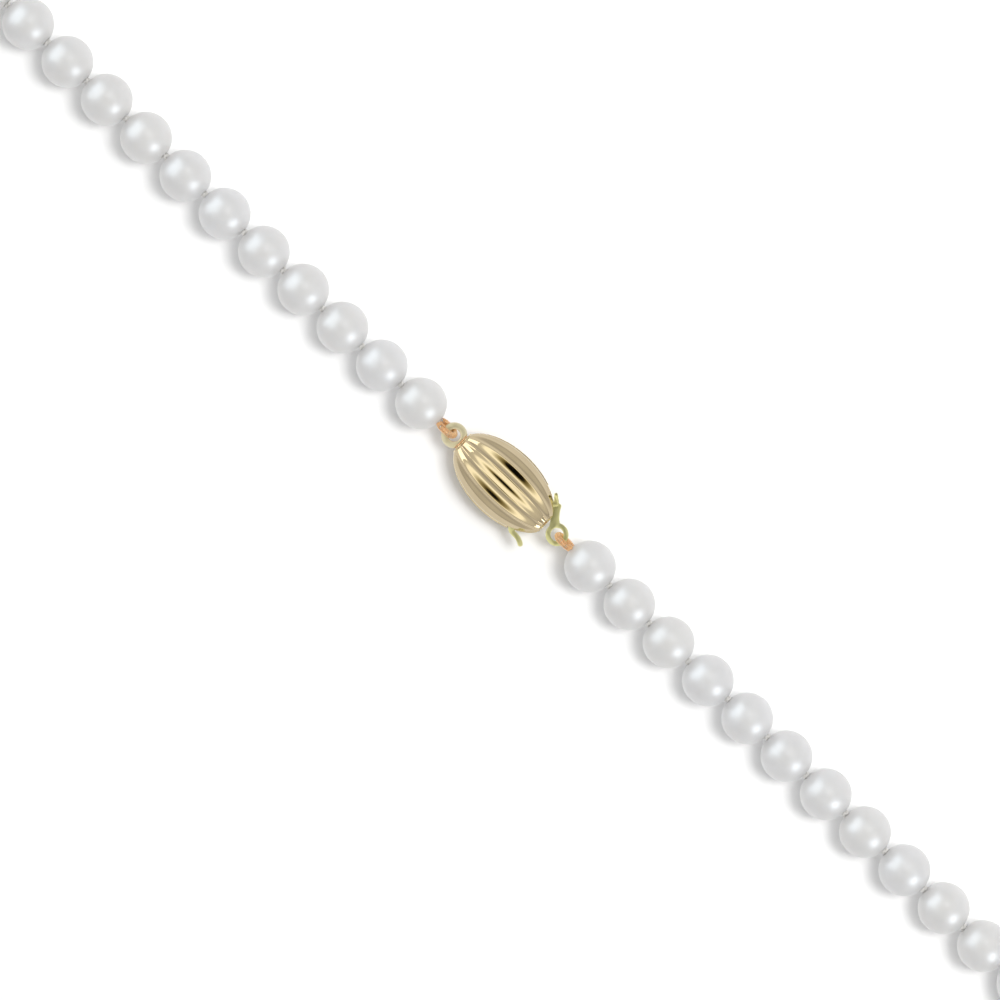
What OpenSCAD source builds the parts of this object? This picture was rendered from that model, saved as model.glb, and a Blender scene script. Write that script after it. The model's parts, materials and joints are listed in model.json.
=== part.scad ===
// Knotted pearl necklace with a fluted oval clasp and a flat swinging hook.
// It lies flat on its pearls: the clasp is at +Y, the front of the strand at -Y,
// and X runs along the straight stretch that holds the clasp. Side "b" ends in the
// hook at +X, side "a" ends in the case at -X. Knot 0 is the mouth next to the clasp.

/* [Strand] */
// Diameter of each pearl
pearl_d = 5.5; // [5.3:0.05:5.55]
// Knot to knot distance, one pearl and its gap
pitch = 5.78; // [5.76:0.01:5.9]
// Drilled hole through each pearl
hole_d = 0.8; // [0.7:0.05:0.9]
// Silk knot between two pearls
knot_d = 0.84; // [0.76:0.02:0.88]
// Twisted silk thread
silk_d = 0.44; // [0.3:0.02:0.5]

/* [Case] */
// Length of the fluted case between its flat ends
case_l = 12.4; // [12.2:0.1:12.5]
// Width of the case across the rim
case_w = 7.48; // [7.2:0.1:7.8]
// Height of the case, the same as a pearl
case_h = 5.5; // [5.3:0.05:5.55]
// Wall of the two half shells
wall = 0.35; // [0.3:0.05:0.4]
// Lengthwise flutes round the case
flutes = 16; // [16:4:20]
// Depth of the top flute as a share of the half height
flute_depth = 0.085; // [0.04:0.005:0.09]
// Thickness of the flat rim in the seam
rim_t = 0.2; // [0.16:0.02:0.24]

/* [Hook] */
// Thickness of the hook plate and of the fixed eye
plate_t = 0.45; // [0.4:0.05:0.45]
// Outer diameter of the hook's eye
hook_eye_d = 2.44; // [2.4:0.04:2.6]
// Hole in the hook's eye
hook_hole_d = 1.4; // [1.36:0.02:1.46]
// Outer diameter of the fixed eye on the case
case_eye_d = 2.78; // [2.7:0.02:2.8]
// Hole in the fixed eye
case_hole_d = 1.3; // [1.28:0.02:1.36]
// Thickness of the spring tongue
tongue_t = 0.18; // [0.14:0.02:0.2]
// How far the released tongue stands up from the plate, in degrees
tongue_rise = 2.5; // [1:0.5:2.5]
// Outer diameter of the coiled French wire
wire_d = 0.75; // [0.65:0.05:0.75]

/* [Hidden] */
$fn = 48;
sides = ["a", "b"];

// Run of pearls on each side, counted from the clasp
straight_count = 12;
corner_count = 3;
side_count = 3;
arc_count = 19;
run_count = straight_count + corner_count + side_count + arc_count;
corner_first = 20;
corner_step = 21;
side_step = 9;
group_sizes = [4, 4, 4, 3, 3, 3, 3, 3, 3, 3, 3];
group_count = len(group_sizes);

// Places along the straight stretch, from its middle
case_x = -0.25;
hook_eye_x = 7.56;
case_eye_x = -7.54;
mouth_x = 9.53;

// The case: half an ellipse in section, cut flat at its ends
full_a = 6.57;
half_l = case_l / 2;
half_w = case_w / 2;
rim_lip = 0.1;
shell_w = half_w - rim_lip;
half_h = case_h / 2 - rim_t / 2;
end_wall = 0.35;
end_hole_w = 0.75;
end_hole_h = 0.36;
length_steps = 16;
steps_per_flute = 6;

// The slot for the hook is an arc about the hook's eye
slot_r = 5.35;
slot_low = -0.33;
slot_high = 0.7;
pin_x = 5.26;
pin_d = 0.6;
pin_l = 2.4;
tang_w = 1;
collar_w = 1.84;
collar_h = 1.3;
collar_t = 0.14;

// The loops of French wire
loop_r = 0.7;
tilt_a = 28;
tilt_b = 18;
loop_mouth_x = 2;
loop_mouth_z = 0.44;
bend_steps = 12;
tube_sides = 10;

// The tongue and its rivet, from the centre of the hook's eye
rivet = [-3.85, -1.6];
tongue_tip = [-3.02, 2.98];
tongue_gap = 0.04;
rivet_d = 0.4;
rivet_head_d = 0.8;
rivet_head_t = 0.12;
clearance = 0.05;

function sum_to(list, n) = n <= 0 ? 0 : list[n - 1] + sum_to(list, n - 1);
function first_of(g) = 1 + sum_to(group_sizes, g - 1);
function last_of(g) = sum_to(group_sizes, g);

// Turn of the strand in segment k, clockwise from +X, for a given step of the front arc
function heading(k, step) =
    k <= straight_count ? 0 :
    k <= straight_count + corner_count ? corner_first + corner_step * (k - straight_count - 1) :
    k <= run_count - arc_count ? 90 + side_step * (k - straight_count - corner_count - 2) :
    180 - step * (run_count + 1 - k);
function along(k, step) = pitch * [cos(heading(k, step)), -sin(heading(k, step))];
function knot_at(k, step) = k == 0 ? [mouth_x, 0] : knot_at(k - 1, step) + along(k, step);

// The front arc closes when its last knot lies half a pitch from the middle
function solve_step(low, high, n) =
    let (mid = (low + high) / 2)
    n == 0 ? mid :
    knot_at(run_count, mid)[0] < pitch / 2 ? solve_step(mid, high, n - 1) : solve_step(low, mid, n - 1);
front_step = solve_step(2, 4.5, 30);
knots = [for (k = [0:run_count]) knot_at(k, front_step)];

depth = -knots[run_count][1];
line_y = (depth + pearl_d / 2 - half_w) / 2;

function two_digits(n) = n < 10 ? str("0", n) : str(n);
function group_name(side, g) = str(side, two_digits(g));

// Puts a child that is drawn about the strand's straight line in its place
module on_line() { translate([0, line_y, pearl_d / 2]) children(); }
module on_side(side) { on_line() mirror([side == "a" ? 1 : 0, 0, 0]) children(); }

// Turns a child from +X so that it points from knot k to knot k - 1
module at_segment(k) {
    from = knots[k];
    step = knots[k - 1] - from;
    translate([from[0], from[1], 0]) rotate([0, 0, atan2(step[1], step[0])]) children();
}

// One pearl lying along +X from the knot at the origin, drilled, with a seat for each knot
module pearl(outer_knot = true) {
    seat = knot_d / 2 + clearance;
    translate([pitch / 2, 0, 0]) rotate([0, 90, 0]) rotate_extrude() difference() {
        circle(d = pearl_d);
        translate([-pearl_d, -pearl_d]) square([pearl_d + hole_d / 2, 2 * pearl_d]);
        translate([0, -pitch / 2]) circle(seat);
        if (outer_knot) translate([0, pitch / 2]) circle(seat);
    }
}

module thread(from, to) {
    translate([from, 0, 0]) rotate([0, 90, 0]) cylinder(d = silk_d, h = to - from);
}

// A round knot; its seam faces across the strand, clear of the silk on both sides
module knot() { rotate([0, 0, 90]) sphere(d = knot_d); }

module pearl_group(side, g) {
    color("#e4e2dd") on_side(side)
        for (k = [first_of(g):last_of(g)]) at_segment(k) pearl(k > 1);
}

// Each group's silk carries the knots on its clasp side, and starts clear of its parent's knot
module silk_group(side, g) {
    start = knot_d / 2 + clearance;
    mouth = (pitch - pearl_d) / 2 + clearance;
    color("#efe9dc") on_side(side)
        union() for (k = [first_of(g):last_of(g)]) at_segment(k) {
            thread(k == last_of(g) ? start : 0, k == 1 ? pitch - mouth : pitch);
            if (k > 1) translate([pitch, 0, 0]) knot();
        }
}

module pearls_front() {
    color("#e4e2dd") {
        for (side = sides) on_side(side) at_segment(run_count) pearl();
        on_line() translate([-pitch / 2, -depth, 0]) pearl();
    }
}

module silk_front() {
    color("#efe9dc") union() {
        on_line() translate([0, -depth, 0]) thread(-pitch / 2, pitch / 2);
        for (side = sides) on_side(side) at_segment(run_count) {
            knot();
            thread(0, pitch);
            translate([pitch, 0, 0]) knot();
        }
    }
}

// Centre line of a loop through an eye at the origin, in the XZ plane, mouth at +X
function loop_path(eye_r, hole_r) =
    let (centre_x = hole_r + 0.16)
    concat([[loop_mouth_x, loop_mouth_z], [eye_r + 0.12, loop_r]],
        [for (i = [0:bend_steps]) let (t = 90 + 180 * i / bend_steps)
            [centre_x + loop_r * cos(t), loop_r * sin(t)]],
        [[eye_r + 0.12, -loop_r], [loop_mouth_x, -loop_mouth_z]]);

// Direction of a path at point i, from its neighbours
function path_dir(path, i) =
    let (step = path[min(i + 1, len(path) - 1)] - path[max(i - 1, 0)]) step / norm(step);

// Ring of points about point i of a path in the XZ plane
function ring(path, i, r) =
    let (dir = path_dir(path, i))
    [for (j = [0:tube_sides - 1]) let (t = 360 * j / tube_sides)
        [path[i][0] - r * cos(t) * dir[1], r * sin(t), path[i][1] + r * cos(t) * dir[0]]];

// Solid rod swept along a path in the XZ plane
module swept_rod(path, r) {
    count = len(path);
    polyhedron(
        points = [for (i = [0:count - 1]) each ring(path, i, r)],
        faces = concat(
            [for (i = [0:count - 2]) for (j = [0:tube_sides - 1]) let (n = (j + 1) % tube_sides)
                each [[i * tube_sides + j, (i + 1) * tube_sides + j, (i + 1) * tube_sides + n],
                    [i * tube_sides + j, (i + 1) * tube_sides + n, i * tube_sides + n]]],
            [[for (j = [0:tube_sides - 1]) j]],
            [[for (j = [tube_sides - 1:-1:0]) (count - 1) * tube_sides + j]]));
}

// Hollow tube swept along a path in the XZ plane
module swept_tube(path, r_out, r_in) {
    count = len(path);
    inner = count * tube_sides;
    end = (count - 1) * tube_sides;
    polyhedron(
        points = concat(
            [for (i = [0:count - 1]) each ring(path, i, r_out)],
            [for (i = [0:count - 1]) each ring(path, i, r_in)]),
        faces = [for (j = [0:tube_sides - 1]) let (n = (j + 1) % tube_sides) each concat(
            [for (i = [0:count - 2]) let (s = i * tube_sides, e = s + tube_sides)
                each [[s + j, e + j, e + n], [s + j, e + n, s + n],
                    [inner + s + j, inner + e + n, inner + e + j],
                    [inner + s + j, inner + s + n, inner + e + n]]],
            [[j, n, inner + n], [j, inner + n, inner + j],
                [end + j, inner + end + n, end + n], [end + j, inner + end + j, inner + end + n]])]);
}

module at_loop(side) {
    eye_x = side == "a" ? -case_eye_x : hook_eye_x;
    on_side(side) translate([eye_x, 0, 0]) rotate([side == "a" ? tilt_a : tilt_b, 0, 0]) children();
}
function side_path(side) = side == "a" ?
    loop_path(case_eye_d / 2, case_hole_d / 2) : loop_path(hook_eye_d / 2, hook_hole_d / 2);

module french_wire(side) {
    color("#dca065") at_loop(side) swept_tube(side_path(side), wire_d / 2, silk_d / 2 + 0.04);
}

module silk_loop(side) {
    color("#efe9dc") at_loop(side) swept_rod(side_path(side), silk_d / 2);
}

// Half width of the case at x, as a share of its full half width
function plan_share(x, a) = sqrt(1 - pow(x / a, 2));
// Concave flutes with a ridge between each two, deep on top and fading to nothing at the seam
function flute_share(t) = 1 - flute_depth * pow(sin(t), 2) * abs(cos(flutes * t / 2));

// One loop round the wall: outside, end face, hole, inside, hole, end face
outer_line = [for (i = [0:length_steps]) let (x = -half_l + case_l * i / length_steps)
    [x, shell_w * plan_share(x, full_a), half_h * plan_share(x, full_a), 1]];
inner_l = half_l - end_wall;
inner_line = [for (i = [length_steps:-1:0]) let (x = -inner_l + 2 * inner_l * i / length_steps,
    s = plan_share(x, full_a - wall))
    [x, (shell_w - wall) * s, (half_h - wall) * s * (1 - flute_depth), 0]];
wall_loop = concat(outer_line,
    [[half_l, end_hole_w, end_hole_h, 0], [inner_l, end_hole_w, end_hole_h, 0]],
    inner_line,
    [[-inner_l, end_hole_w, end_hole_h, 0], [-half_l, end_hole_w, end_hole_h, 0]]);

module half_shell() {
    loop_n = len(wall_loop);
    turn_n = flutes / 2 * steps_per_flute;
    translate([0, 0, rim_t / 2]) polyhedron(
        points = [for (j = [0:turn_n]) let (t = 180 * j / turn_n) for (p = wall_loop)
            let (s = p[3] == 1 ? flute_share(t) : 1) [p[0], p[1] * s * cos(t), p[2] * s * sin(t)]],
        faces = concat(
            [for (j = [0:turn_n - 1]) for (i = [0:loop_n - 1])
                let (n = (i + 1) % loop_n, s = j * loop_n, e = s + loop_n)
                each [[s + i, e + i, e + n], [s + i, e + n, s + n]]],
            seam_faces(0, 1),
            seam_faces(turn_n * loop_n, -1)));
}

// Flat faces of the seam between the outer and the inner line, and round the end walls
function seam_faces(start, sign) =
    let (n = length_steps, last = 2 * n + 3,
        quads = concat([for (i = [0:n - 1]) [i, i + 1, last - 1 - i, last - i]],
            [[n, n + 1, n + 2, n + 3], [last, last + 1, last + 2, 0]]))
    [for (q = quads) [for (i = [0:3]) start + q[sign > 0 ? i : 3 - i]]];

module hook_slot() {
    translate([hook_eye_x - case_x, 0, slot_low]) cylinder(r = slot_r, h = slot_high - slot_low, $fn = 96);
}

module at_case() { on_line() translate([case_x, 0, 0]) children(); }

module case_top() {
    color("#c8b489") at_case() difference() {
        half_shell();
        hook_slot();
    }
}

module case_bottom() {
    color("#bfae86") at_case() difference() {
        mirror([0, 0, 1]) half_shell();
        hook_slot();
    }
}

// Outline of the seam, seen from above
function seam_outline(w, a) = concat(
    [for (i = [0:24]) let (x = -half_l + case_l * i / 24) [x, w * plan_share(x, a)]],
    [for (i = [24:-1:0]) let (x = -half_l + case_l * i / 24) [x, -w * plan_share(x, a)]]);

module seam_rim() {
    color("#d8c79a") at_case() difference() {
        translate([0, 0, -rim_t / 2]) linear_extrude(rim_t) difference() {
            polygon(seam_outline(half_w, full_a));
            polygon([for (p = seam_outline(half_w - 0.5, full_a)) [p[0] * (1 - 0.4 / half_l), p[1]]]);
        }
        hook_slot();
        translate([-half_l - 1, -end_hole_w, -1]) cube([1.6, 2 * end_hole_w, 2]);
    }
}

module end_collar() {
    color("#d9a577") at_case() translate([-half_l - collar_t, 0, 0]) difference() {
        rotate([0, 90, 0]) union() {
            for (y = [-1, 1]) translate([0, y * (collar_w - collar_h) / 2, 0])
                cylinder(d = collar_h, h = collar_t);
            translate([-collar_h / 2, -(collar_w - collar_h) / 2, 0])
                cube([collar_h, collar_w - collar_h, collar_t]);
        }
        translate([-1, -tang_w / 2, -plate_t / 2]) cube([2, tang_w, plate_t]);
    }
}

// Flat ring whose foot runs through the collar into the case
module case_eye() {
    reach = 5;
    collar_face = case_x - half_l - collar_t;
    color("#b9b391") on_line() translate([0, 0, -plate_t / 2]) difference() {
        union() {
            intersection() {
                translate([case_eye_x, 0, 0]) cylinder(d = case_eye_d, h = plate_t);
                translate([collar_face - reach, -reach, -1]) cube([reach, 2 * reach, 3]);
            }
            translate([case_eye_x + 0.4, -tang_w / 2, 0])
                cube([case_x - half_l + 0.9 - case_eye_x - 0.4, tang_w, plate_t]);
        }
        translate([case_eye_x, 0, -1]) cylinder(d = case_hole_d, h = 3);
    }
}

module catch_pin() {
    color("#b9b391") at_case() translate([pin_x, 0, -pin_l / 2]) cylinder(d = pin_d, h = pin_l);
}

// Flat strip along a centre line of [x, y, half width] points
function strip_side(line, sign) = [for (i = [0:len(line) - 1])
    let (a = line[max(i - 1, 0)], b = line[min(i + 1, len(line) - 1)],
        d = [b[0] - a[0], b[1] - a[1]], n = [-d[1], d[0]] / norm(d))
    [line[i][0], line[i][1]] + sign * line[i][2] * n];
function reversed(list) = [for (i = [len(list) - 1:-1:0]) list[i]];
module strip(line, thickness) {
    linear_extrude(thickness) polygon(concat(strip_side(line, 1), reversed(strip_side(line, -1))));
}

// Points of a quadratic curve in three dimensions
function bend(a, b, c, n) = [for (i = [0:n]) let (t = i / n)
    (1 - t) * (1 - t) * a + 2 * t * (1 - t) * b + t * t * c];

// The stem leaves the eye, and the arm goes round the catch pin to the tail
stem_line = bend([-0.8, 0.5, 0.6], [-1.42, 1.1, 0.36], [-2.05, 2.2, 0.38], 10);
arm_line = concat(
    bend([-1.98, 2.2, 0.36], [-3.2, 2, 0.44], [-3.55, -0.2, 0.45], 8),
    bend([-3.62, -0.7, 0.45], [-3.85, -2.0, 0.44], [-4.02, -2.45, 0.4], 6),
    bend([-4.0, -2.75, 0.36], [-3.9, -3.1, 0.3], [-3.4, -3.1, 0.28], 5),
    bend([-3.1, -3.1, 0.28], [-2.6, -3.1, 0.28], [-2.12, -3.42, 0.28], 5));
tail_tip = arm_line[len(arm_line) - 1];
tongue_line = concat(
    [[-3.98, -2.15, 0.3], [-3.85, -1.6, 0.32], [-3.62, -0.7, 0.28]],
    bend([-3.55, -0.2, 0.27], [-3.35, 1.3, 0.27], [-2.35, 2.3, 0.3], 7));
// The thumb end lies along the stem
thumb_line = bend([-2.35, 2.3, 0.3], [-2.6, 2.6, 0.24], [tongue_tip[0], tongue_tip[1], 0.18], 5);
// The tongue hinges about the line across the strip at its rivet
press_dir = (tongue_tip - rivet) / norm(tongue_tip - rivet);

module at_hook() { on_line() translate([hook_eye_x, 0, 0]) children(); }

module hook_plate() {
    color("#b9b98a") at_hook() translate([0, 0, -plate_t / 2]) difference() {
        union() {
            cylinder(d = hook_eye_d, h = plate_t);
            strip(stem_line, plate_t);
            strip(arm_line, plate_t);
            for (end = [arm_line[0], tail_tip])
                translate([end[0], end[1], 0]) cylinder(r = end[2], h = plate_t);
        }
        translate([0, 0, -1]) cylinder(d = hook_hole_d, h = 3);
        translate([rivet[0], rivet[1], -1]) cylinder(d = rivet_d, h = 3);
    }
}

module spring_tongue() {
    bottom = plate_t / 2 + tongue_gap;
    color("#c9c08c") at_hook() translate([rivet[0], rivet[1], bottom])
        rotate(a = tongue_rise, v = [press_dir[1], -press_dir[0], 0])
        translate([-rivet[0], -rivet[1], 0]) difference() {
            union() {
                strip(tongue_line, tongue_t);
                strip(thumb_line, tongue_t);
                translate([thumb_line[0][0], thumb_line[0][1], 0]) cylinder(r = thumb_line[0][2], h = tongue_t);
                translate([tongue_tip[0], tongue_tip[1], 0]) cylinder(r = 0.18, h = tongue_t + 0.14);
            }
            translate([rivet[0], rivet[1], -1]) cylinder(d = rivet_d + 0.12, h = 3);
        }
}

module tongue_rivet() {
    head_z = plate_t / 2 + tongue_gap + tongue_t + clearance;
    color("#d6caa0") at_hook() translate([rivet[0], rivet[1], 0]) union() {
        translate([0, 0, -plate_t / 2]) cylinder(d = rivet_d, h = head_z + plate_t / 2 + 0.02);
        translate([0, 0, head_z]) cylinder(d = rivet_head_d, h = rivet_head_t);
    }
}

pearls_front();
silk_front();
for (side = sides) for (g = [1:group_count]) {
    pearl_group(side, g);
    silk_group(side, g);
}
for (side = sides) {
    french_wire(side);
    silk_loop(side);
}
case_top();
case_bottom();
seam_rim();
end_collar();
case_eye();
catch_pin();
hook_plate();
spring_tongue();
tongue_rivet();
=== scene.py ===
import math
import random
import json

import bmesh
import bpy
import numpy as np
from mathutils import Matrix, Vector

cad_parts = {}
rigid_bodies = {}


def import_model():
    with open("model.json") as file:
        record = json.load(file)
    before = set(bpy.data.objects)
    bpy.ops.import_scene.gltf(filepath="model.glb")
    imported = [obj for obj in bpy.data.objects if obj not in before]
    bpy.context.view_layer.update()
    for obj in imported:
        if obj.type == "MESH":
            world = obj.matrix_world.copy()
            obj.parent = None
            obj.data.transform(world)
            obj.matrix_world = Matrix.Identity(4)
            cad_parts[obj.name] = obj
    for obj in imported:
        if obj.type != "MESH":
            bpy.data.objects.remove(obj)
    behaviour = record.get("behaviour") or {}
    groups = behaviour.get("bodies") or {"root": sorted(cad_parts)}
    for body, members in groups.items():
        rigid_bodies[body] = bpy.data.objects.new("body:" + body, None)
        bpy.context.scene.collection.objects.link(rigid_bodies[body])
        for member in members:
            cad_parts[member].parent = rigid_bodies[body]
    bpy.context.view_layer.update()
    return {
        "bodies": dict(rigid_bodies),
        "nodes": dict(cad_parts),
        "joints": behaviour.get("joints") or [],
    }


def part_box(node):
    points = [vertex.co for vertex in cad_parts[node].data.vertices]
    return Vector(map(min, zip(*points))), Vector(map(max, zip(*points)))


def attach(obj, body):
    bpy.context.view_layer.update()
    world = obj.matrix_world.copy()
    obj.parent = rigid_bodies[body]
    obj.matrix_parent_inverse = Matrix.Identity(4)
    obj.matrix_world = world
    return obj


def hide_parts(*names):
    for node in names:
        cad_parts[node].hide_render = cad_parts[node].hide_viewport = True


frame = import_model()

MM = 0.001
X_AXIS = Vector((1, 0, 0))
Z_AXIS = Vector((0, 0, 1))

# ---- sizes and places, from the frame -------------------------------------------------------
JOINTS = {(j["parent"], j["child"]): j for j in frame["joints"]}
PEARL_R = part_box("pearls_front")[1].z / 2
STRAND_Z = PEARL_R
CASE_LOW, CASE_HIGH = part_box("case_top")
CASE_X = (CASE_LOW.x + CASE_HIGH.x) / 2
LINE_Y = (CASE_LOW.y + CASE_HIGH.y) / 2
HOLE_R = 0.4 * MM
KNOT_R = 0.42 * MM
KNOT_REACH = 0.47 * MM
THREAD_R = 0.22 * MM
THREAD_TWIST = 0.9 * MM


def joint_place(parent, child):
    return Vector(JOINTS[(parent, child)]["pos_m"])


# ---- small mesh tools -----------------------------------------------------------------------
def new_piece(name, verts, faces, material, smooth=True):
    """A mesh object in the shared frame with one material."""
    mesh = bpy.data.meshes.new(name)
    mesh.from_pydata([tuple(v) for v in verts], [], faces)
    mesh.validate()
    mesh.polygons.foreach_set("use_smooth", [smooth] * len(mesh.polygons))
    mesh.materials.append(material)
    obj = bpy.data.objects.new(name, mesh)
    bpy.context.scene.collection.objects.link(obj)
    return obj


def join_parts(parts):
    """Several (verts, faces) pairs as one."""
    verts, faces = [], []
    for part_verts, part_faces in parts:
        start = len(verts)
        verts.extend(part_verts)
        faces.extend(tuple(start + i for i in f) for f in part_faces)
    return verts, faces


def revolve(profile, place, steps):
    """A closed profile of (radius, height) turned about Z, then put in place by a matrix."""
    count = len(profile)
    verts, faces = [], []
    for i in range(steps):
        turn = 2 * math.pi * i / steps
        for radius, height in profile:
            verts.append(place @ Vector((radius * math.cos(turn), radius * math.sin(turn), height)))
    for i in range(steps):
        j = (i + 1) % steps
        for k in range(count):
            n = (k + 1) % count
            faces.append((i * count + k, j * count + k, j * count + n, i * count + n))
    return verts, faces


def path_frames(points):
    """(point, normal, binormal) along an open path, turning as little as it can."""
    tangents = []
    for i in range(len(points)):
        step = points[min(i + 1, len(points) - 1)] - points[max(i - 1, 0)]
        tangents.append(step.normalized())
    seed = Z_AXIS if abs(tangents[0].z) < 0.9 else X_AXIS
    normal = (seed - tangents[0] * seed.dot(tangents[0])).normalized()
    frames = []
    for point, tangent in zip(points, tangents):
        normal = (normal - tangent * normal.dot(tangent)).normalized()
        frames.append((point, normal, tangent.cross(normal)))
    return frames


def tube(points, radius, sides=8, closed=False):
    """A round rod along a path, with flat ends unless it is closed."""
    frames = path_frames(points)
    verts, faces = [], []
    for point, normal, binormal in frames:
        for k in range(sides):
            turn = 2 * math.pi * k / sides
            verts.append(point + radius * (math.cos(turn) * normal + math.sin(turn) * binormal))
    rings = len(points)
    for i in range(rings if closed else rings - 1):
        j = (i + 1) % rings
        for k in range(sides):
            n = (k + 1) % sides
            faces.append((i * sides + k, i * sides + n, j * sides + n, j * sides + k))
    if not closed:
        faces.append(tuple(reversed(range(sides))))
        faces.append(tuple((rings - 1) * sides + k for k in range(sides)))
    return verts, faces


def helix(points, coil_r, pitch, steps_per_turn=14, phase=0.0):
    """Points of a coil wound round a path."""
    lengths = [0.0]
    for a, b in zip(points, points[1:]):
        lengths.append(lengths[-1] + (b - a).length)
    frames = path_frames(points)
    count = int(lengths[-1] / pitch * steps_per_turn)
    coil, seg = [], 0
    for i in range(count + 1):
        at = lengths[-1] * i / count
        while seg < len(points) - 2 and lengths[seg + 1] < at:
            seg += 1
        share = (at - lengths[seg]) / (lengths[seg + 1] - lengths[seg])
        centre = frames[seg][0].lerp(frames[seg + 1][0], share)
        normal = frames[seg][1].lerp(frames[seg + 1][1], share).normalized()
        binormal = frames[seg][2].lerp(frames[seg + 1][2], share).normalized()
        turn = 2 * math.pi * at / pitch + phase
        coil.append(centre + coil_r * (math.cos(turn) * normal + math.sin(turn) * binormal))
    return coil


def face_outwards(obj, merge_dist=None):
    """Turns every face of a closed mesh outwards, once points that lie together are joined."""
    work = bmesh.new()
    work.from_mesh(obj.data)
    if merge_dist:
        bmesh.ops.remove_doubles(work, verts=work.verts, dist=merge_dist)
    bmesh.ops.recalc_face_normals(work, faces=work.faces)
    work.to_mesh(obj.data)
    work.free()


def place_along(origin, direction):
    """Matrix that puts local Z along direction, at origin."""
    return Matrix.Translation(origin) @ direction.to_track_quat("Z", "Y").to_matrix().to_4x4()


def softened_copy(node, name, edge_r, material, sharp_deg=35):
    """A copy of a CAD node with its sharp edges rounded over, which replaces it."""
    mesh = frame["nodes"][node].data.copy()
    work = bmesh.new()
    work.from_mesh(mesh)
    bmesh.ops.remove_doubles(work, verts=work.verts, dist=0.002 * MM)
    bmesh.ops.dissolve_limit(work, angle_limit=math.radians(0.5), verts=work.verts, edges=work.edges)
    edges = [e for e in work.edges
             if len(e.link_faces) == 2 and e.calc_face_angle(0) > math.radians(sharp_deg)]
    bmesh.ops.bevel(work, geom=edges, offset=edge_r, offset_type="OFFSET", segments=3, profile=0.5,
                    affect="EDGES", clamp_overlap=True)
    bmesh.ops.recalc_face_normals(work, faces=work.faces)
    work.to_mesh(mesh)
    work.free()
    mesh.polygons.foreach_set("use_smooth", [True] * len(mesh.polygons))
    mesh.set_sharp_from_angle(angle=math.radians(40))
    mesh.materials.clear()
    mesh.materials.append(material)
    obj = bpy.data.objects.new(name, mesh)
    bpy.context.scene.collection.objects.link(obj)
    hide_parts(node)
    return obj


# ---- materials ------------------------------------------------------------------------------
def new_material(name):
    material = bpy.data.materials.new(name)
    material.use_nodes = True
    tree = material.node_tree
    return material, tree, tree.nodes["Principled BSDF"]


def noise(tree, scale, detail=3.0, stretch=(1, 1, 1)):
    """Noise over the part itself: scale is in features per metre."""
    coords = tree.nodes.new("ShaderNodeTexCoord")
    mapping = tree.nodes.new("ShaderNodeMapping")
    mapping.inputs["Scale"].default_value = stretch
    texture = tree.nodes.new("ShaderNodeTexNoise")
    texture.inputs["Scale"].default_value = scale
    texture.inputs["Detail"].default_value = detail
    tree.links.new(coords.outputs["Object"], mapping.inputs["Vector"])
    tree.links.new(mapping.outputs["Vector"], texture.inputs["Vector"])
    return texture


def ramp(tree, source, stops):
    """A colour ramp of (place, colour) stops fed by a socket."""
    node = tree.nodes.new("ShaderNodeValToRGB")
    while len(node.color_ramp.elements) < len(stops):
        node.color_ramp.elements.new(0.5)
    for element, (place, colour) in zip(node.color_ramp.elements, stops):
        element.position = place
        element.color = (*colour, 1)
    tree.links.new(source, node.inputs["Fac"])
    return node


def grey(value):
    return (value, value, value)


def bump(tree, source, shader, strength, distance):
    node = tree.nodes.new("ShaderNodeBump")
    node.inputs["Strength"].default_value = strength
    node.inputs["Distance"].default_value = distance
    tree.links.new(source, node.inputs["Height"])
    tree.links.new(node.outputs["Normal"], shader.inputs["Normal"])


EVEN = (1, 1, 1)
BRUSHED = (0.06, 1, 1)


def gold(name, dark, light, roughness, scratch=0.05, grain_scale=9000, stretch=EVEN,
         metallic=1.0, vary=0.3):
    """Gold: a little tone change, and a fine grain that varies the roughness and the surface."""
    material, tree, shader = new_material(name)
    shader.inputs["Metallic"].default_value = metallic
    tone = noise(tree, 380, 4)
    colours = ramp(tree, tone.outputs["Fac"], [(0.3, dark), (0.7, light)])
    tree.links.new(colours.outputs["Color"], shader.inputs["Base Color"])
    grain = noise(tree, grain_scale, 2, stretch)
    rough = ramp(tree, grain.outputs["Fac"],
                 [(0.3, grey(roughness * (1 - vary))), (0.75, grey(roughness * (1 + vary)))])
    tree.links.new(rough.outputs["Color"], shader.inputs["Roughness"])
    bump(tree, grain.outputs["Fac"], shader, scratch, 0.004 * MM)
    return material


def tinted(tree, base, tint):
    """One colour socket times another."""
    mix = tree.nodes.new("ShaderNodeMix")
    mix.data_type = "RGBA"
    mix.blend_type = "MULTIPLY"
    mix.inputs["Factor"].default_value = 1.0
    tree.links.new(base, mix.inputs[6])
    tree.links.new(tint, mix.inputs[7])
    return mix.outputs[2]


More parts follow.
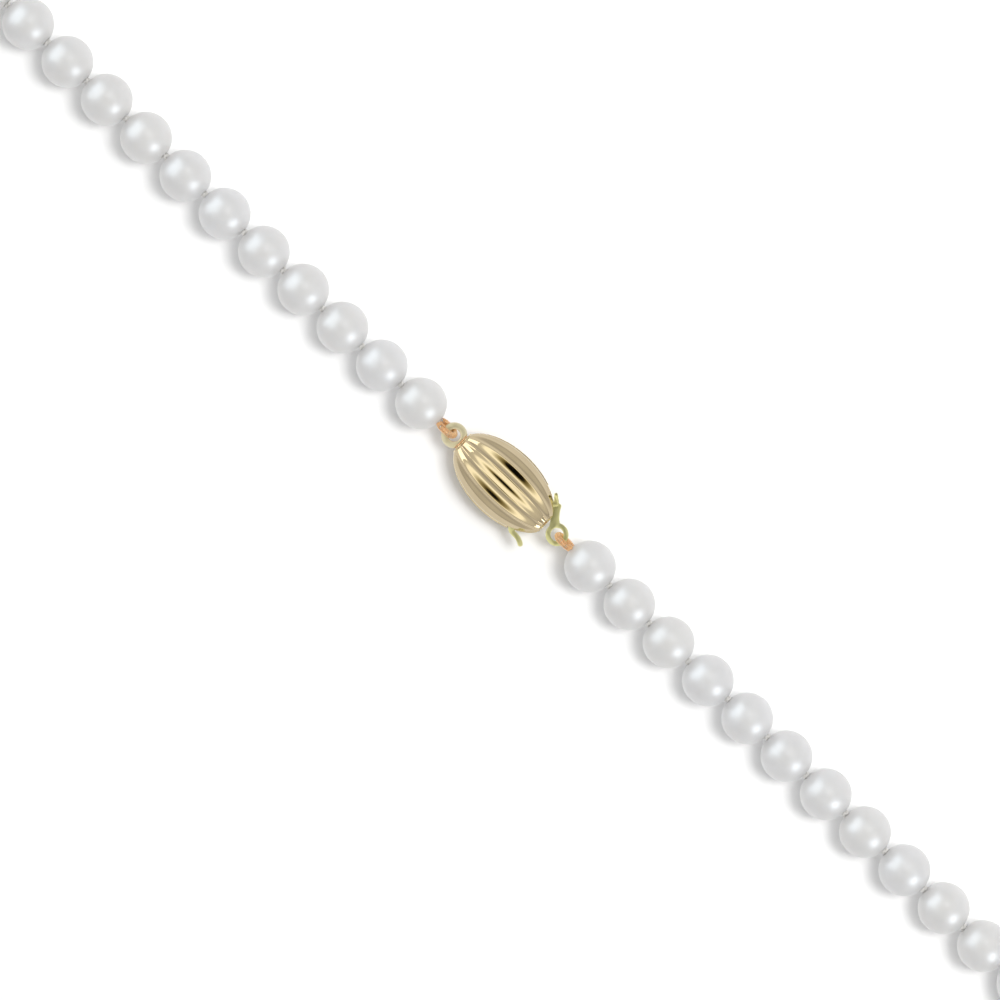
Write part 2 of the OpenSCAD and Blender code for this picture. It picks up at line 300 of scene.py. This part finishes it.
def pearl_material():
    """Nacre: a white body with a soft deep lustre, and a tone of its own on each pearl."""
    material, tree, shader = new_material("pearl_nacre")
    cloud = noise(tree, 420, 3)
    cloudy = ramp(tree, cloud.outputs["Fac"],
                  [(0.35, (0.85, 0.845, 0.84)), (0.65, (0.88, 0.88, 0.88))])
    tone = tree.nodes.new("ShaderNodeAttribute")
    tone.attribute_name = "tone"
    tones = ramp(tree, tone.outputs["Fac"], [(0.0, (1.0, 0.992, 0.98)), (1.0, (0.99, 0.99, 1.0))])
    colour = tinted(tree, cloudy.outputs["Color"], tones.outputs["Color"])
    tree.links.new(colour, shader.inputs["Base Color"])
    shader.inputs["Roughness"].default_value = 0.42
    shader.inputs["Specular IOR Level"].default_value = 0.6
    shader.inputs["Subsurface Weight"].default_value = 0.12
    shader.inputs["Subsurface Radius"].default_value = (1.0, 0.9, 0.8)
    shader.inputs["Subsurface Scale"].default_value = 0.4 * MM
    shader.inputs["Coat Weight"].default_value = 0.5
    shader.inputs["Coat Roughness"].default_value = 0.36
    shader.inputs["Coat IOR"].default_value = 1.55
    fine = noise(tree, 5200, 2)
    bump(tree, fine.outputs["Fac"], shader, 0.05, 0.006 * MM)
    return material


def silk_material():
    """Off-white silk, matt, with a fine fibre."""
    material, tree, shader = new_material("silk_thread")
    fibre = noise(tree, 16000, 3)
    colours = ramp(tree, fibre.outputs["Fac"], [(0.3, (0.90, 0.88, 0.84)), (0.7, (0.97, 0.96, 0.94))])
    tree.links.new(colours.outputs["Color"], shader.inputs["Base Color"])
    shader.inputs["Roughness"].default_value = 0.7
    shader.inputs["Sheen Weight"].default_value = 0.4
    shader.inputs["Sheen Roughness"].default_value = 0.4
    bump(tree, fibre.outputs["Fac"], shader, 0.2, 0.02 * MM)
    return material


PEARL = pearl_material()
SILK = silk_material()
CASE_GOLD = gold("case_gold", (0.60, 0.49, 0.315), (0.66, 0.545, 0.355), 0.085, stretch=BRUSHED)
# Painted light: the slot's cut faces get a lighter, rougher, less metallic gold, so the slot shaded
# under the top shell reads tan instead of dark.
SLOT_PAINTED_LIGHT_GOLD = gold("slot_painted_light_gold", (0.80, 0.66, 0.40), (0.88, 0.74, 0.48), 0.7, metallic=0.3)
RIM_GOLD = gold("rim_gold", (0.80, 0.69, 0.48), (0.88, 0.77, 0.56), 0.12, stretch=BRUSHED)
# Painted reflection: the gold end collar is tinted rose to stand in for the orange French wire
# mirrored in the polished end of the case.
COLLAR_PAINTED_REFLECTION_GOLD = gold("collar_painted_reflection_gold", (0.74, 0.46, 0.27), (0.84, 0.57, 0.37), 0.16, stretch=BRUSHED)
EYE_GOLD = gold("eye_gold", (0.68, 0.62, 0.44), (0.84, 0.78, 0.60), 0.40, 0.05, 11000, vary=0.15)
HOOK_GOLD = gold("hook_gold", (0.86, 0.85, 0.46), (0.94, 0.92, 0.54), 0.30, 0.01, 14000, vary=0.04)
TONGUE_GOLD = gold("tongue_gold", (0.84, 0.80, 0.42), (0.92, 0.87, 0.50), 0.28, 0.01, 14000, vary=0.04)
WIRE_GOLD = gold("french_wire_gold", (0.90, 0.54, 0.28), (0.98, 0.70, 0.44), 0.3, 0.08)


# ---- pearls ---------------------------------------------------------------------------------
def fit_centre(points):
    """Centre of the sphere that a drilled pearl's points lie on."""
    keep = points
    for _ in range(3):
        rows = np.c_[2 * keep, np.ones(len(keep))]
        centre = np.linalg.lstsq(rows, (keep ** 2).sum(1), rcond=None)[0][:3]
        off = abs(np.linalg.norm(points - centre, axis=1) - PEARL_R)
        keep = points[off < max(0.02 * MM, np.median(off) * 1.5)]
    return Vector(centre)


def loose_parts(obj):
    """Points of each separate solid of a CAD node."""
    work = bmesh.new()
    work.from_mesh(obj.data)
    bmesh.ops.remove_doubles(work, verts=work.verts, dist=0.001 * MM)
    seen, parts = set(), []
    for seed in work.verts:
        if seed in seen:
            continue
        stack, part = [seed], []
        seen.add(seed)
        while stack:
            vert = stack.pop()
            part.append(tuple(vert.co))
            for edge in vert.link_edges:
                other = edge.other_vert(vert)
                if other not in seen:
                    seen.add(other)
                    stack.append(other)
        parts.append(np.array(part))
    work.free()
    return parts


def pearl_profile():
    """Half section of a drilled pearl: the nacre, a rounded lip and the bore."""
    lip_r, lip_depth = 0.62 * MM, 0.3 * MM
    start = math.asin(lip_r / PEARL_R)
    outer = [(PEARL_R * math.sin(a), PEARL_R * math.cos(a))
             for a in np.linspace(start, math.pi - start, 33)]
    top = math.sqrt(PEARL_R ** 2 - lip_r ** 2)
    lip = [(HOLE_R + (lip_r - HOLE_R) * (1 - math.sin(t)), top - lip_depth * (1 - math.cos(t)))
           for t in np.linspace(math.pi / 6, math.pi / 2, 4)]
    lower_lip = [(r, -h) for r, h in lip]
    bore = [(HOLE_R, h) for h in np.linspace(-0.7 * top, 0.7 * top, 5)]
    return outer + lower_lip + bore + list(reversed(lip))


def slightly_off_round(verts, centre, rng):
    """Nacre is never a perfect ball: shallow swells, all inside the true sphere."""
    axes = [Vector([rng.gauss(0, 1) for _ in range(3)]).normalized() for _ in range(3)]
    depth = rng.uniform(0.002, 0.006)
    shaped = []
    for vert in verts:
        arm = vert - centre
        out = arm.normalized()
        swell = sum(out.dot(axis) ** 2 for axis in axes) / len(axes)
        shaped.append(centre + arm * (1 - depth * swell))
    return shaped


def pearl_chain(node, start):
    """Centre and drill direction of each pearl of a node, from its first knot outwards."""
    centres = [fit_centre(p) for p in loose_parts(frame["nodes"][node])]
    knot, chain = start, []
    while centres:
        centre = min(centres, key=lambda c: (c - knot).length)
        centres.remove(centre)
        chain.append((centre, (centre - knot).normalized()))
        knot = centre * 2 - knot
    return chain


def make_pearls(node, chain, rng):
    """The drilled pearls of one node."""
    profile = pearl_profile()
    parts, tones = [], []
    for centre, direction in chain:
        verts, faces = revolve(profile, place_along(centre, direction), 56)
        parts.append((slightly_off_round(verts, centre, rng), faces))
        tones += [rng.random()] * len(verts)
    verts, faces = join_parts(parts)
    obj = new_piece("nacre_" + node, verts, faces, PEARL)
    attribute = obj.data.attributes.new("tone", "FLOAT", "POINT")
    attribute.data.foreach_set("value", tones)
    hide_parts(node)
    return obj


# ---- silk -----------------------------------------------------------------------------------
def knot_parts(centre, direction, rng):
    """A pulled-tight overhand knot: a trefoil of thread inside the knot's ball."""
    place = place_along(centre, direction) @ Matrix.Rotation(rng.uniform(0, 2 * math.pi), 4, "Z")
    cord_r = 0.15 * MM
    size = (KNOT_R - cord_r) / 3
    points = []
    for i in range(36):
        t = 2 * math.pi * i / 36
        points.append(place @ (size * Vector((math.sin(t) + 2 * math.sin(2 * t),
                                               math.cos(t) - 2 * math.cos(2 * t),
                                               -1.6 * math.sin(3 * t)))))
    return [tube(points, cord_r, 7, closed=True)]


def plies(path, steps_per_turn):
    """Two plies of silk twisted round each other along a path."""
    ply_r = THREAD_R / 2
    return [tube(helix(path, ply_r, THREAD_TWIST, steps_per_turn, phase), ply_r, 6)
            for phase in (0, math.pi)]


def straight(start, end, steps=10):
    return [start.lerp(end, i / steps) for i in range(steps + 1)]


def make_silk(node, runs, knots, rng):
    """The silk of one node: its runs of thread and its knots."""
    parts = []
    for start, end in runs:
        parts += plies(straight(start, end), 10)
    for centre, direction in knots:
        parts += knot_parts(centre, direction, rng)
    verts, faces = join_parts(parts)
    obj = new_piece("twisted_" + node, verts, faces, SILK)
    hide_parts(node)
    return obj


def build_group(body, start, rng, mouth):
    """Pearls and silk of one group, from the knot that joins it to its parent."""
    chain = pearl_chain("pearls_" + body, start)
    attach(make_pearls("pearls_" + body, chain, rng), body)
    knot, runs, knots = start, [], []
    for i, (centre, direction) in enumerate(chain):
        first = KNOT_REACH if i == 0 else 0
        end = centre * 2 - knot
        at_mouth = mouth and i == len(chain) - 1
        stop = centre + direction * (PEARL_R - 0.1 * MM) if at_mouth else end
        runs.append((knot + direction * first, stop))
        if not at_mouth:
            knots.append((end, direction))
        knot = end
    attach(make_silk("silk_" + body, runs, knots, rng), body)


def build_front(rng):
    """The front group, which carries the knots at both of its ends."""
    start = joint_place("front", "a11")
    chain = pearl_chain("pearls_front", start)
    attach(make_pearls("pearls_front", chain, rng), "front")
    knot, runs, knots = start, [], [(start, chain[0][1])]
    for centre, direction in chain:
        end = centre * 2 - knot
        runs.append((knot, end))
        knots.append((end, direction))
        knot = end
    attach(make_silk("silk_front", runs, knots, rng), "front")


def build_strand():
    """The front group, then each side from the front to the clasp."""
    rng = random.Random(7)
    build_front(rng)
    for side in "ab":
        groups = sorted((name for name in frame["bodies"] if name[0] == side and name[1:].isdigit()),
                        reverse=True)
        parent = "front"
        for body in groups:
            build_group(body, joint_place(parent, body), rng, mouth=body == groups[-1])
            parent = body


# ---- French wire loops ----------------------------------------------------------------------
LOOP_TILT = {"a": math.radians(28), "b": math.radians(18)}
COIL_R = 0.375 * MM
COIL_PITCH = 0.162 * MM
WIRE_R = 0.078 * MM


def loop_path(eye_r, hole_r):
    """Centre line of a loop through an eye at the origin, in the XZ plane, mouth at +X."""
    loop_r, mouth_x, mouth_z = 0.7 * MM, 2.1 * MM, 0.385 * MM
    centre_x = hole_r + 0.16 * MM
    bend = [Vector((centre_x + loop_r * math.cos(t), 0, loop_r * math.sin(t)))
            for t in np.linspace(math.pi / 2, 3 * math.pi / 2, 19)]
    shoulder = eye_r + 0.12 * MM
    leg = []
    for share in np.linspace(0, 1, 8):
        ease = share * share * (3 - 2 * share)
        leg.append(Vector((mouth_x + (shoulder - mouth_x) * share, 0,
                           mouth_z + (loop_r - mouth_z) * ease)))
    back = [Vector((p.x, 0, -p.z)) for p in reversed(leg)]
    return leg + bend + back


def make_loop(side, eye, eye_r, hole_r, body):
    """A close coil of gold wire over the silk, bent through the clasp's eye."""
    tilt = Matrix.Rotation(LOOP_TILT[side], 4, "X")
    turn = Matrix.Scale(-1 if side == "a" else 1, 4, X_AXIS)
    place = Matrix.Translation(eye) @ turn @ tilt
    path = [place @ p for p in loop_path(eye_r, hole_r)]
    coil = helix(path, COIL_R - WIRE_R, COIL_PITCH, 16)
    verts, faces = tube(coil, WIRE_R, 7)
    wire = new_piece("coil_french_wire_" + side, verts, faces, WIRE_GOLD)
    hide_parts("french_wire_" + side)
    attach(wire, body)
    verts, faces = join_parts(plies(path, 12))
    silk = new_piece("twisted_silk_loop_" + side, verts, faces, SILK)
    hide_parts("silk_loop_" + side)
    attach(silk, body)


# ---- the clasp ------------------------------------------------------------------------------
RIM_HALF = (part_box("seam_rim")[1].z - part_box("seam_rim")[0].z) / 2
HALF_L = (CASE_HIGH.x - CASE_LOW.x) / 2
HALF_W = (CASE_HIGH.y - CASE_LOW.y) / 2
HALF_H = 2.65 * MM
FULL_A = HALF_L * 6.57 / 6.2
FLUTES = 16
FLUTE_DEPTH = 0.085
WALL = 0.35 * MM
HOOK_EYE_R, HOOK_HOLE_R = 1.22 * MM, 0.7 * MM
CASE_EYE_R, CASE_HOLE_R = 1.39 * MM, 0.65 * MM
SLOT_R = 5.35 * MM
SLOT_LOW = -0.33 * MM
SLOT_HIGH = 0.7 * MM


def plan_share(x, a):
    """Half width of an ellipse of half length a at x, as a share of its greatest."""
    return math.sqrt(1 - (x / a) ** 2)


def flute_share(turn):
    """Concave flutes with a softened ridge between each two, fading to nothing at the seam."""
    soft = 0.12
    wave = math.sqrt(math.cos(FLUTES * turn / 2) ** 2 + soft ** 2)
    return 1 - FLUTE_DEPTH * math.sin(turn) ** 2 * min(1, wave)


def wall_loop():
    """One loop round the wall, carried from one side of the seam to the other."""
    steps = 72
    inner_l = HALF_L - WALL
    hole_w, hole_h = 0.75 * MM, 0.36 * MM
    edge_r = 0.12 * MM
    line = []
    for i in range(steps + 1):
        x = -HALF_L + edge_r + 2 * (HALF_L - edge_r) * i / steps
        share = plan_share(x, FULL_A)
        line.append((x, HALF_W * share, HALF_H * share, 1))
    end_share = plan_share(HALF_L, FULL_A)
    lip = [(edge_r * math.sin(t), edge_r * (1 - math.cos(t)))
           for t in np.linspace(0.3, math.pi / 2, 5)]
    end = [(HALF_L - edge_r + run, HALF_W * end_share - drop, HALF_H * end_share - drop, 1)
           for run, drop in lip]
    hole = [(HALF_L, hole_w, hole_h, 0), (inner_l, hole_w, hole_h, 0)]
    inner = []
    for i in range(25):
        x = inner_l - 2 * inner_l * i / 24
        share = plan_share(x, FULL_A - WALL)
        inner.append((x, (HALF_W - WALL) * share, (HALF_H - WALL) * share * (1 - FLUTE_DEPTH), 0))
    left = [(-x, w, h, f) for x, w, h, f in reversed(hole)]
    left_end = [(-x, w, h, f) for x, w, h, f in reversed(end)]
    return line + end + hole + inner + left + left_end


def half_shell(name, node, up):
    """One fluted half of the case, above the seam or below it, with the hook's slot cut in it."""
    loop = wall_loop()
    steps_per_flute = 22
    count, turns = len(loop), FLUTES // 2 * steps_per_flute
    verts, faces = [], []
    for j in range(turns + 1):
        turn = math.pi * j / turns
        for x, w, h, fluted in loop:
            share = flute_share(turn) if fluted else 1
            verts.append(Vector((CASE_X + x, LINE_Y + w * share * math.cos(turn),
                                 STRAND_Z + up * (RIM_HALF + h * share * math.sin(turn)))))
    for j in range(turns):
        for i in range(count):
            n = (i + 1) % count
            faces.append((j * count + i, (j + 1) * count + i, (j + 1) * count + n, j * count + n))
    faces.append(tuple(range(count)))
    faces.append(tuple(turns * count + i for i in reversed(range(count))))
    obj = new_piece(name, verts, faces, CASE_GOLD)
    face_outwards(obj)
    cut_slot(obj)
    obj.data.set_sharp_from_angle(angle=math.radians(38))
    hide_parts(node)
    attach(obj, "case")


def cut_slot(obj):
    """Cuts the hook's slot, an arc about the hook's eye, as the CAD does."""
    eye = joint_place("loop_b", "hook")
    near_axis = 0.001 * MM
    profile = [(near_axis, SLOT_LOW), (SLOT_R, SLOT_LOW), (SLOT_R, SLOT_HIGH), (near_axis, SLOT_HIGH)]
    verts, faces = revolve(profile, Matrix.Translation(eye), 128)
    # The cutter's lighter gold passes to the slot's cut faces, as painted light in the slot's shade.
    cutter = new_piece("slot_cutter", verts, faces, SLOT_PAINTED_LIGHT_GOLD, smooth=False)
    face_outwards(cutter, merge_dist=0.005 * MM)
    modifier = obj.modifiers.new("slot", "BOOLEAN")
    modifier.object = cutter
    modifier.operation = "DIFFERENCE"
    modifier.solver = "EXACT"
    modifier.material_mode = "TRANSFER"
    graph = bpy.context.evaluated_depsgraph_get()
    mesh = bpy.data.meshes.new_from_object(obj.evaluated_get(graph))
    obj.modifiers.clear()
    obj.data = mesh
    bpy.data.objects.remove(cutter)


def build_clasp():
    """The case's half shells, the fittings, and the French wire loops in their eyes."""
    half_shell("fluted_case_top", "case_top", 1)
    half_shell("fluted_case_bottom", "case_bottom", -1)
    fittings = [
        ("seam_rim", "bright_seam_rim", 0.03, RIM_GOLD, "rim_gold", "case"),
        # The end collar's rose tint is a painted reflection of the French wire.
        ("end_collar", "rounded_end_collar", 0.05, COLLAR_PAINTED_REFLECTION_GOLD, "rose_gold", "case"),
        ("case_eye", "rounded_case_eye", 0.12, EYE_GOLD, "fitting_gold", "case"),
        ("catch_pin", "turned_catch_pin", 0.04, EYE_GOLD, "fitting_gold", "case"),
        ("hook_plate", "rounded_hook_plate", 0.1, HOOK_GOLD, "fitting_gold", "hook"),
        ("tongue_rivet", "domed_tongue_rivet", 0.05, RIM_GOLD, "rim_gold", "hook"),
        ("spring_tongue", "rounded_spring_tongue", 0.04, TONGUE_GOLD, "tongue_gold", "tongue"),
    ]
    for node, name, edge_r, material, slot, body in fittings:
        piece = softened_copy(node, name, edge_r * MM, material)
        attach(piece, body)
    make_loop("b", joint_place("loop_b", "hook"), HOOK_EYE_R, HOOK_HOLE_R, "loop_b")
    case_eye = Vector((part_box("case_eye")[0].x + CASE_EYE_R, LINE_Y, STRAND_Z))
    make_loop("a", case_eye, CASE_EYE_R, CASE_HOLE_R, "case")


# ---- studio ---------------------------------------------------------------------------------
FLOOR_HALF = 6.0
SKY_HEIGHT = 1.0
VIEW_TURN = math.radians(44)
VIEW_RIGHT = Vector((math.cos(VIEW_TURN), math.sin(VIEW_TURN), 0))
VIEW_UP = Vector((-math.sin(VIEW_TURN), math.cos(VIEW_TURN), 0))


def build_camera():
    """Straight above the clasp, turned so that the strand runs from upper left to lower right."""
    data = bpy.data.cameras.new("camera")
    camera = bpy.data.objects.new("camera", data)
    bpy.context.scene.collection.objects.link(camera)
    height, view_width = 0.55, 0.1058
    data.sensor_width = 36
    data.lens = data.sensor_width * height / view_width
    data.clip_start, data.clip_end = 0.01, 20
    camera.location = (CASE_X + 0.93 * MM, LINE_Y - 1.56 * MM, STRAND_Z + height)
    camera.rotation_euler = (0, 0, VIEW_TURN)
    bpy.context.scene.camera = camera


def stage_plane(name, half, material):
    """A flat square that belongs to the studio."""
    corners = [(-half, -half, 0), (half, -half, 0), (half, half, 0), (-half, half, 0)]
    plane = new_piece(name, corners, [(0, 1, 2, 3)], material, smooth=False)
    return plane


def area_light(name, direction, distance, size, watts, colour=(1, 1, 1), glossy=True, diffuse=True):
    """A soft box at a direction given as (right, up, towards the camera) in the main view."""
    data = bpy.data.lights.new(name, "AREA")
    data.shape = "SQUARE"
    data.size = size
    data.energy = watts
    data.color = colour
    light = bpy.data.objects.new(name, data)
    bpy.context.scene.collection.objects.link(light)
    aim = Vector((CASE_X, LINE_Y, 0))
    ray = (VIEW_RIGHT * direction[0] + VIEW_UP * direction[1] + Z_AXIS * direction[2]).normalized()
    light.location = aim + ray * distance
    light.rotation_mode = "QUATERNION"
    light.rotation_quaternion = ray.to_track_quat("Z", "Y")
    light.visible_camera = False
    light.visible_glossy = glossy
    light.visible_diffuse = diffuse
    return light


def reflected_sky():
    """A soft overhead box with the camera's dark shape in its middle, which only mirrors see."""
    material = bpy.data.materials.new("reflected_sky")
    material.use_nodes = True
    tree = material.node_tree
    tree.nodes.remove(tree.nodes["Principled BSDF"])
    coords = tree.nodes.new("ShaderNodeTexCoord")
    distance = tree.nodes.new("ShaderNodeVectorMath")
    distance.operation = "LENGTH"
    glow = tree.nodes.new("ShaderNodeEmission")
    tree.links.new(coords.outputs["Object"], distance.inputs[0])
    stops = ramp(tree, distance.outputs["Value"], [
        (0.0, grey(0.0)), (0.085, grey(0.0)), (0.1, (0.16, 0.13, 0.05)), (0.14, (0.38, 0.34, 0.2)),
        (0.24, (1.25, 1.25, 1.12)), (0.32, (1.25, 1.25, 1.15)), (0.42, (0.66, 0.66, 0.62)),
        (1.0, (0.5, 0.5, 0.49))])
    tree.links.new(stops.outputs["Color"], glow.inputs["Color"])
    glow.inputs["Strength"].default_value = 1.25
    tree.links.new(glow.outputs["Emission"], tree.nodes["Material Output"].inputs["Surface"])
    sky = stage_plane("reflected_sky", 1.0, material)
    sky.scale = (1.9, 2.2, 1)
    sky.location = (CASE_X, LINE_Y + 0.05, SKY_HEIGHT)
    sky.visible_camera = False
    sky.visible_diffuse = False
    sky.visible_shadow = False
    sky.visible_transmission = False


def build_world():
    """Pale surroundings, brightest at the horizon."""
    world = bpy.data.worlds.new("studio")
    bpy.context.scene.world = world
    world.use_nodes = True
    tree = world.node_tree
    coords = tree.nodes.new("ShaderNodeTexCoord")
    parts = tree.nodes.new("ShaderNodeSeparateXYZ")
    tree.links.new(coords.outputs["Generated"], parts.inputs["Vector"])
    height = ramp(tree, parts.outputs["Z"], [(0.0, grey(0.96)), (0.5, grey(0.36))])
    tree.links.new(height.outputs["Color"], tree.nodes["Background"].inputs["Color"])
    tree.nodes["Background"].inputs["Strength"].default_value = 1.0


def build_floor():
    """A plain white floor that the gold doesn't mirror."""
    material, _, shader = new_material("white_floor")
    shader.inputs["Base Color"].default_value = (0.97, 0.97, 0.97, 1)
    shader.inputs["Roughness"].default_value = 1.0
    shader.inputs["Specular IOR Level"].default_value = 0.0
    floor = stage_plane("floor", FLOOR_HALF, material)
    floor.visible_glossy = False
    return floor


def light_only(light, pieces):
    """Keep a light to some pieces."""
    receivers = bpy.data.collections.new(light.name + "_receivers")
    for piece in pieces:
        receivers.objects.link(piece)
    light.light_linking.receiver_collection = receivers


def build_lights(floor):
    """A key for the floor's shadows, a soft fill, and boxes that shine in the pearls and the gold."""
    pieces = [obj for obj in bpy.context.scene.objects if obj.type == "MESH" and obj.data.materials]
    pearls = [obj for obj in pieces if obj.data.materials[0] == PEARL]
    metal = [obj for obj in pieces if obj.data.materials[0] not in (PEARL, SILK) and obj != floor]
    key = area_light("key", (0.42, 0.02, 1.0), 0.9, 0.3, 3.5, (1.0, 0.995, 0.985), glossy=False)
    light_only(key, [floor])
    area_light("fill", (0.3, 0.1, 1.0), 0.9, 0.7, 3.1, glossy=False)
    warm = (1.0, 0.97, 0.9)
    for name, direction, size, watts, colour, receivers in (
            ("pearl_window", (-0.71, 0.56, 0.42), 1.2, 21.5, (0.82, 0.93, 1.0), pearls),
            ("pearl_low_box", (0.6, -0.7, 0.48), 0.5, 8.8, (0.86, 0.94, 1.0), pearls),
            ("pearl_top_box", (0.22, 0.3, 1.0), 0.3, 1.3, (0.96, 0.98, 1.0), pearls),
            ("metal_window", (-0.71, 0.56, 0.42), 0.8, 3.4, warm, metal),
            ("metal_box", (0.6, -0.7, 0.36), 0.3, 0.9, warm, metal)):
        light_only(area_light(name, direction, 1.0, size, watts, colour, diffuse=False), receivers)


bpy.context.scene.view_settings.view_transform = "Standard"
build_camera()
build_world()
stage_floor = build_floor()
reflected_sky()
build_strand()
build_clasp()
build_lights(stage_floor)
